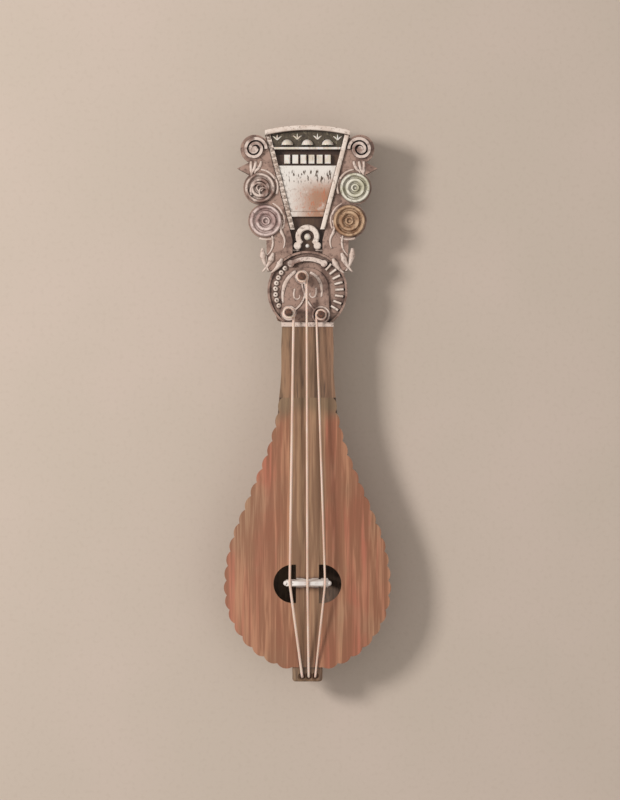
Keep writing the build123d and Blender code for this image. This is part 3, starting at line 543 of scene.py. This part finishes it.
class LYRA_OT_stage(bpy.types.Operator):
    """Floor, lamps and the camera over the lyra"""

    bl_idname = "lyra.stage"
    bl_label = "Stage"

    def execute(self, context):
        c, s = colours(), sizes()
        deselect()
        bpy.ops.mesh.primitive_plane_add(size=24, location=(0, 0, 0))
        floor = bpy.context.object
        floor.name = "floor"
        paper = Finish("paper_floor")
        cloud = paper.noise(7, detail=4)
        fleck = paper.noise(260, detail=3)
        tone = paper.mix(paper.between(cloud, 0.35, 0.7, 0, 0.5), c.floor, linear(210, 190, 176))
        tone = paper.mix(paper.between(fleck, 0.3, 0.5, 0.12, 0), tone, linear(180, 160, 142))
        floor.data.materials.append(paper.done(tone, 0.85))

        world = bpy.data.worlds.new("studio")
        world.use_nodes = True
        world.node_tree.nodes.clear()
        lit = world.node_tree.nodes.new("ShaderNodeBackground")
        seen = world.node_tree.nodes.new("ShaderNodeBackground")
        path = world.node_tree.nodes.new("ShaderNodeLightPath")
        choice = world.node_tree.nodes.new("ShaderNodeMixShader")
        output = world.node_tree.nodes.new("ShaderNodeOutputWorld")
        lit.inputs[0].default_value = (1.0, 0.98, 0.96, 1)
        lit.inputs[1].default_value = 0.45
        seen.inputs[0].default_value = (*c.floor, 1)
        seen.inputs[1].default_value = 1.0
        links = world.node_tree.links
        links.new(path.outputs["Is Camera Ray"], choice.inputs[0])
        links.new(lit.outputs[0], choice.inputs[1])
        links.new(seen.outputs[0], choice.inputs[2])
        links.new(choice.outputs[0], output.inputs[0])
        bpy.context.scene.world = world

        for name, spot, width, power in (
            ("key", (-1.55, 0.55, 1.6), 0.5, 33),
            ("fill", (1.4, -1.0, 1.9), 1.6, 5),
        ):
            deselect()
            bpy.ops.object.light_add(type="AREA", location=spot)
            lamp = bpy.context.object
            lamp.name = name
            lamp.data.size = width
            lamp.data.energy = power
            lamp.rotation_euler = (-Vector(spot)).to_track_quat("-Z", "Y").to_euler()

        deselect()
        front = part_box("soundboard")[1].z
        spot = (s.shift_x, s.shift_y, front + s.camera_height)
        bpy.ops.object.camera_add(location=spot, rotation=(0, 0, 0))
        camera = bpy.context.object
        camera.name = "camera"
        camera.data.lens = camera.data.sensor_width * s.camera_height / s.view_height
        bpy.context.scene.camera = camera
        bpy.context.scene.view_settings.view_transform = "Standard"
        return {"FINISHED"}


# ---- Modelling helpers ------------------------------------------------------------------------


def deselect():
    """Object mode with nothing selected."""
    if bpy.context.mode != "OBJECT":
        bpy.ops.object.mode_set(mode="OBJECT")
    bpy.ops.object.select_all(action="DESELECT")


def strip(spot, heading, width, height, strokes):
    """A carved strip: a round section drawn out step by step, turning and thinning as it goes.

    Each stroke is steps, reach of a step, turn of a step and thinning of a step.
    """
    deselect()
    heading = math.radians(heading)
    at = Vector(spot)
    bpy.ops.mesh.primitive_circle_add(
        vertices=10,
        radius=width / 2,
        fill_type="NGON",
        location=at,
        rotation=(math.pi / 2, 0, heading - math.pi / 2),
    )
    made = bpy.context.object
    bpy.ops.object.mode_set(mode="EDIT")
    bpy.ops.mesh.select_all(action="SELECT")
    for steps, reach, turn, thinning in strokes:
        for _ in range(steps):
            move = Vector((math.cos(heading), math.sin(heading), 0)) * reach
            bpy.ops.mesh.extrude_region_move(TRANSFORM_OT_translate={"value": move})
            at = at + move
            bpy.ops.transform.rotate(value=-math.radians(turn), orient_axis="Z", center_override=at)
            bpy.ops.transform.resize(value=(thinning,) * 3, center_override=at)
            heading += math.radians(turn)
    bpy.ops.mesh.select_all(action="SELECT")
    bpy.ops.transform.resize(value=(1, 1, height / width), center_override=at)
    bpy.ops.mesh.normals_make_consistent(inside=False)
    deselect()
    made.select_set(True)
    bpy.context.view_layer.objects.active = made
    bpy.ops.object.transform_apply(location=True, rotation=True, scale=True)
    bpy.ops.object.shade_smooth()
    return made


def turned(spot, rings, sides):
    """A turned form: a round face drawn up and scaled ring by ring, each a radius and a height."""
    deselect()
    radius = rings[0][0]
    at = Vector(spot)
    bpy.ops.mesh.primitive_circle_add(vertices=sides, radius=radius, fill_type="NGON", location=at)
    made = bpy.context.object
    bpy.ops.object.mode_set(mode="EDIT")
    bpy.ops.mesh.select_all(action="SELECT")
    level = rings[0][1]
    for wide, high in rings[1:]:
        bpy.ops.mesh.extrude_region_move(TRANSFORM_OT_translate={"value": (0, 0, high - level)})
        bpy.ops.transform.resize(value=(wide / radius, wide / radius, 1), center_override=at)
        radius, level = wide, high
    bpy.ops.mesh.select_all(action="SELECT")
    bpy.ops.mesh.normals_make_consistent(inside=False)
    deselect()
    made.select_set(True)
    bpy.context.view_layer.objects.active = made
    bpy.ops.object.transform_apply(location=True, rotation=True, scale=True)
    bpy.ops.object.shade_smooth_by_angle(angle=math.radians(40))
    return made


def piece(name, parts, maker, body=BODY, instead=()):
    """Join parts into one piece that rides on a body, with its finish."""
    deselect()
    for part in parts:
        part.select_set(True)
    bpy.context.view_layer.objects.active = parts[0]
    if len(parts) > 1:
        bpy.ops.object.join()
    made = bpy.context.object
    made.name = made.data.name = name
    made.data.materials.clear()
    made.data.materials.append(made_once(maker))
    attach(made, body)
    if instead:
        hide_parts(*instead)
    return made


def on(node, x, y, up):
    """A spot that lies x and y from the middle of a node and up from its top."""
    spot = middle(node)
    return Vector((spot.x + x, spot.y + y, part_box(node)[1].z + up))


# ---- Carving ----------------------------------------------------------------------------------


# Rings of a deep rosette, from its rim to its sunk eye: share of the radius, share of the height
ROSETTE_RINGS = (
    (1.0, 0.0),
    (1.0, 0.5),
    (0.93, 0.95),
    (0.84, 0.95),
    (0.75, 0.25),
    (0.67, 0.25),
    (0.6, 0.9),
    (0.47, 0.9),
    (0.37, 0.2),
    (0.29, 0.2),
    (0.25, 0.65),
    (0.17, 0.65),
    (0.12, 0.05),
)

# Border beads: how many, their ring on the disc, the arc they stand on in degrees, and a bead's own rings
BEADS = 8
BEAD_CIRCLE = 27.6 * MM
BEADS_FROM, BEADS_TO = 134.5, 207
BEAD_RINGS = (
    (2.1 * MM, 0),
    (2.35 * MM, 0.8 * MM),
    (2.1 * MM, 1.7 * MM),
    (1.5 * MM, 2.4 * MM),
    (0.7 * MM, 2.6 * MM),
    (0.5 * MM, 1.9 * MM),
)


class LYRA_OT_acanthus(bpy.types.Operator):
    """Curling acanthus strokes between each volute and its rosettes"""

    bl_idname = "lyra.acanthus"
    bl_label = "Acanthus strokes"

    def execute(self, context):
        s = sizes()
        wide, high = s.curl_width, s.curl_height
        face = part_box("wing_left")[1].z
        for side, name in ((-1, "left"), (1, "right")):
            volute = middle(f"volute_{name}")
            upper = middle(f"rosette_upper_{name}")
            lower = middle(f"rosette_lower_{name}")
            parts = []
            for reach, bend in ((0.5, 9), (5.0, 4), (9.0, -3)):
                spot = (volute.x + side * (reach - 5) * MM, volute.y - 11.5 * MM, face)
                strokes = [(5, 1.6 * MM, side * bend, 1.04), (6, 1.4 * MM, -side * bend * 2, 0.8)]
                parts.append(strip(spot, -90 + side * 6, wide, high, strokes))
            for around, ring, drop, starts, steps, bend, thinning in (
                (upper, 15.0 * MM, 0.0, (200, 150), 9, 6.4, 0.95),
                (lower, 15.6 * MM, 0.4 * MM, (205, 160, 290), 8, 6.2, 0.94),
            ):
                for start in starts:
                    turn = math.radians(start if side > 0 else 180 - start)
                    spot = (around.x + ring * math.cos(turn), around.y + ring * math.sin(turn), face - drop)
                    strokes = [(steps, 1.7 * MM, -side * bend, thinning)]
                    parts.append(strip(spot, math.degrees(turn) - side * 90, wide, high, strokes))
            piece(f"acanthus_{name}", parts, pale_carving)
        return {"FINISHED"}


class LYRA_OT_rosettes(bpy.types.Operator):
    """Deep-turned rosettes with sunk eyes, and a curl over the upper left one"""

    bl_idname = "lyra.rosettes"
    bl_label = "Rosettes"

    def execute(self, context):
        for node, maker in (
            ("rosette_upper_left", carved_wood),
            ("rosette_lower_left", mauve_wood),
            ("rosette_upper_right", green_bone),
            ("rosette_lower_right", brown_wood),
        ):
            radius, height = size(node).x / 2, size(node).z
            parts = [turned(base(node), [(radius * r, height * h) for r, h in ROSETTE_RINGS], 40)]
            if node == "rosette_upper_left":
                spot = on(node, -radius * 0.55, -radius * 0.5, -height * 0.25)
                strokes = [(14, 1.9 * MM, -15, 1.0), (14, 1.5 * MM, -24, 0.95)]
                parts.append(strip(spot, 110, 2.2 * MM, 2 * MM, strokes))
            piece(f"deep_{node}", parts, maker, instead=[node])
        return {"FINISHED"}


class LYRA_OT_leaves(bpy.types.Operator):
    """Slim leaves between the wings and the disc"""

    bl_idname = "lyra.leaves"
    bl_label = "Leaves"

    def execute(self, context):
        for side, name in ((-1, "left"), (1, "right")):
            low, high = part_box(f"leaves_{name}")
            face = low.z
            inner = low.x if side > 0 else high.x
            outer = high.x if side > 0 else low.x
            parts = []
            for share, drop, reach, bend, heading in (
                (0.8, 3, 2.1, -4, -88),
                (0.36, 7, 1.9, 3, -74),
                (0.0, 12, 1.6, 4, -70),
            ):
                spot = (inner + (outer - inner) * share, high.y - drop * MM, face)
                strokes = [(3, reach * MM, side * bend, 1.32), (7, reach * MM, side * bend, 0.82)]
                turn = heading if side > 0 else -180 - heading
                parts.append(strip(spot, turn, 2.6 * MM, 3.0 * MM, strokes))
            piece(f"carved_leaves_{name}", parts, pale_carving, instead=[f"leaves_{name}"])
        return {"FINISHED"}


class LYRA_OT_beads(bpy.types.Operator):
    """Rounded beads of the disc's border, with a drilled eye"""

    bl_idname = "lyra.beads"
    bl_label = "Border beads"

    def execute(self, context):
        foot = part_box("disc_beads")[0].z
        low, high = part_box("peg_disc")
        centre_y = high.y - (high.x - low.x) / 2
        parts = []
        for step in range(BEADS):
            turn = math.radians(BEADS_FROM + step * (BEADS_TO - BEADS_FROM) / (BEADS - 1))
            spot = (BEAD_CIRCLE * math.cos(turn), centre_y + BEAD_CIRCLE * math.sin(turn), foot)
            parts.append(turned(spot, BEAD_RINGS, 16))
        piece("border_beads", parts, pale_wood, instead=["disc_beads"])
        return {"FINISHED"}


class LYRA_OT_scrolls(bpy.types.Operator):
    """Scrolls beside the horseshoe and below the rails, and small curls over the disc"""

    bl_idname = "lyra.scrolls"
    bl_label = "Head scrolls"

    def execute(self, context):
        wide = sizes().curl_width
        shoe = middle("horseshoe")
        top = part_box("disc_band")[1]
        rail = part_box("rail_plain")[0]
        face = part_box("wing_left")[0].z
        parts = []
        for side in (-1, 1):
            parts.append(
                strip(
                    (shoe.x + side * 15 * MM, shoe.y - 4 * MM, face),
                    -90 + side * 40,
                    wide,
                    3 * MM,
                    [(4, 1.8 * MM, side * 4, 1.05), (7, 1.7 * MM, side * 24, 0.86)],
                )
            )
            parts.append(
                strip(
                    (side * 7 * MM, top.y + 6 * MM, face),
                    90 - side * 84,
                    wide,
                    2.6 * MM,
                    [(4, 1.8 * MM, -side * 5, 1.04), (8, 1.5 * MM, side * 26, 0.86)],
                )
            )
            parts.append(
                strip(
                    (side * (rail.x + 11 * MM), rail.y + 8 * MM, face + 5 * MM),
                    -90 + side * 22,
                    wide,
                    2.6 * MM,
                    [(6, 2 * MM, -side * 9, 1.03), (7, 1.9 * MM, side * 9, 0.88)],
                )
            )
            parts.append(
                strip(
                    (side * (rail.x + 20 * MM), rail.y - 4 * MM, face + 5 * MM),
                    -90 - side * 18,
                    wide * 0.8,
                    2.2 * MM,
                    [(5, 2 * MM, side * 6, 1.02), (6, 1.8 * MM, side * 8, 0.86)],
                )
            )
        piece("head_scrolls", parts, pale_carving)

        return {"FINISHED"}


class LYRA_OT_field_curves(bpy.types.Operator):
    """Curves in the disc's field, from the middle peg down to the outer ones"""

    bl_idname = "lyra.field_curves"
    bl_label = "Field curves"

    def execute(self, context):
        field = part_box("disc_tracery")[0].z
        peg = middle("peg_middle")
        parts = []
        for x, y, heading, width, height, strokes in (
            (-5, 5, 212, 3.2, 1.6, [(7, 2.3 * MM, 6, 1.02), (7, 2.2 * MM, 4, 0.9)]),
            (7, 4, -26, 2.6, 1.5, [(6, 2.2 * MM, -8, 1.02), (6, 2.0 * MM, -5, 0.9)]),
            (-6, -10, 250, 1.8, 1.4, [(4, 1.7 * MM, 9, 1.0), (7, 1.3 * MM, 30, 0.93)]),
            (12, -9, -80, 1.8, 1.4, [(4, 1.6 * MM, -8, 1.0), (7, 1.3 * MM, -30, 0.93)]),
        ):
            spot = (peg.x + x * MM, peg.y + y * MM, field)
            parts.append(strip(spot, heading, width * MM, height * MM, strokes))
        piece("field_curves", parts, pale_carving)
        return {"FINISHED"}


class LYRA_OT_frieze(bpy.types.Operator):
    """Small palmettes between the frieze's domes"""

    bl_idname = "lyra.frieze"
    bl_label = "Frieze palmettes"

    def execute(self, context):
        low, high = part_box("frieze")
        domes = size("frieze_domes")
        gap = (domes.x - domes.y * 2) / 2
        parts = []
        for step in (-1.5, -0.5, 0.5, 1.5):
            foot = Vector((step * gap, low.y + 7 * MM - abs(step) * 0.6 * MM, high.z))
            for lean in (-38, 0, 38):
                strokes = [(3, 0.9 * MM, -lean / 9, 1.1), (3, 0.8 * MM, -lean / 5, 0.75)]
                parts.append(strip(foot, 90 - lean, 1.2 * MM, 1.6 * MM, strokes))
        piece("frieze_palmettes", parts, old_bone)
        return {"FINISHED"}


OPERATORS = [
    LYRA_OT_stage,
    LYRA_OT_finishes,
    LYRA_OT_acanthus,
    LYRA_OT_rosettes,
    LYRA_OT_leaves,
    LYRA_OT_scrolls,
    LYRA_OT_field_curves,
    LYRA_OT_frieze,
    LYRA_OT_beads,
]


class VIEW3D_PT_lyra(bpy.types.Panel):
    """Buttons for the lyra's pieces"""

    bl_label = "Lyra"
    bl_space_type = "VIEW_3D"
    bl_region_type = "UI"
    bl_category = "Lyra"

    def draw(self, context):
        for operator in OPERATORS:
            self.layout.operator(operator.bl_idname)
        for group in (context.scene.lyra_colours, context.scene.lyra_sizes):
            for name in group.__annotations__:
                self.layout.prop(group, name)


def register():
    for made in (LyraColours, LyraSizes, *OPERATORS, VIEW3D_PT_lyra):
        bpy.utils.register_class(made)
    bpy.types.Scene.lyra_colours = bpy.props.PointerProperty(type=LyraColours)
    bpy.types.Scene.lyra_sizes = bpy.props.PointerProperty(type=LyraSizes)


def unregister():
    del bpy.types.Scene.lyra_colours
    del bpy.types.Scene.lyra_sizes
    for made in reversed((LyraColours, LyraSizes, *OPERATORS, VIEW3D_PT_lyra)):
        bpy.utils.unregister_class(made)


def main():
    """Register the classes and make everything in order."""
    register()
    for operator in OPERATORS:
        group, name = operator.bl_idname.split(".")
        getattr(getattr(bpy.ops, group), name)()
    bpy.context.view_layer.update()


if __name__ == "__main__":
    main()
